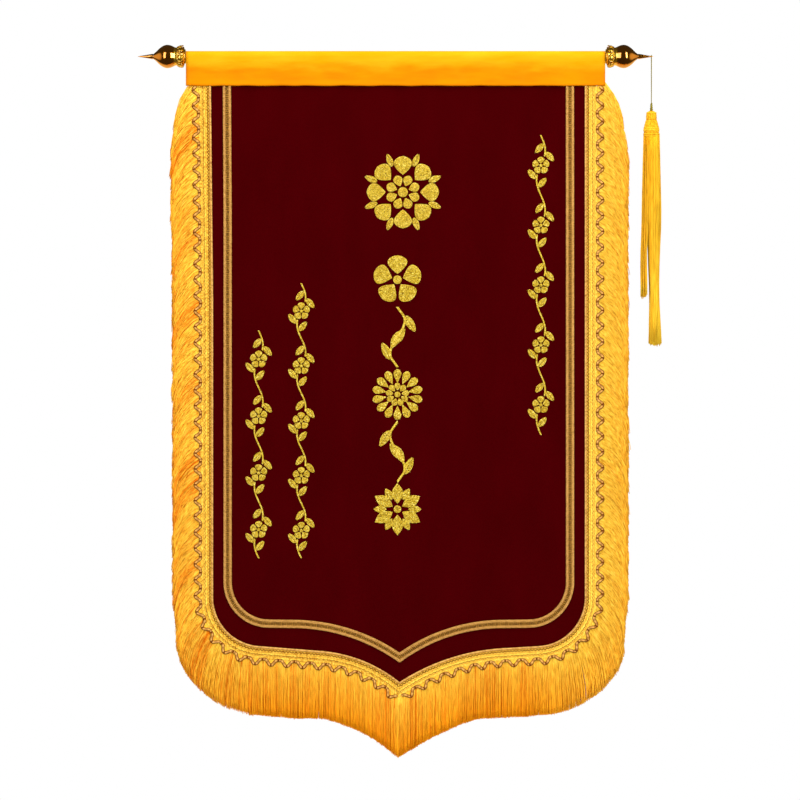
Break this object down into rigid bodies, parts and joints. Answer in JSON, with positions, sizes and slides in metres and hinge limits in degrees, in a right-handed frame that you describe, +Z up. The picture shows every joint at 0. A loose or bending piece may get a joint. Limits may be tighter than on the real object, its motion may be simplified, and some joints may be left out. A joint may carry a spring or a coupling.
{
  "type": "honor banner on a hanging rod",
  "caption": "Shield-shaped velvet award banner with a gold fringe, a braid border and a satin sleeve, hung on a round rod with turned finials and a long tassel.",
  "frame": {"origin": "on the rod's axis, above the middle of the cloth, where the rod is held", "axes": "+Z up, +X to the right of someone who faces the banner, the embroidered face looks towards -Y"},
  "size_m": [0.6777, 0.0302, 0.9135],
  "materials": {
    "velvet": "deep pile, matte with a soft sheen",
    "satin": "satin with fine wrinkles",
    "border_braid": "plaited gold thread",
    "fringe_yarn": "twisted rayon yarn, soft shine",
    "wave_cord": "plaited gold and copper thread",
    "plated_gold": "mirror plated, amber lacquer",
    "rod_wood": "plain sanded",
    "tassel_yarn": "rayon yarn, soft shine",
    "twisted_cord": "twisted cord"
  },
  "bodies": {
    "root": {"rod": "rod_wood", "finial_left": "plated_gold", "finial_right": "plated_gold", "sleeve": "satin", "panel": "velvet", "inner_braid": "border_braid", "fringe_left": "fringe_yarn", "fringe_right": "fringe_yarn", "wave_left": "wave_cord", "wave_right": "wave_cord", "tassel": "tassel_yarn", "tassel_cord": "twisted_cord"}
  },
  "joints": []
}
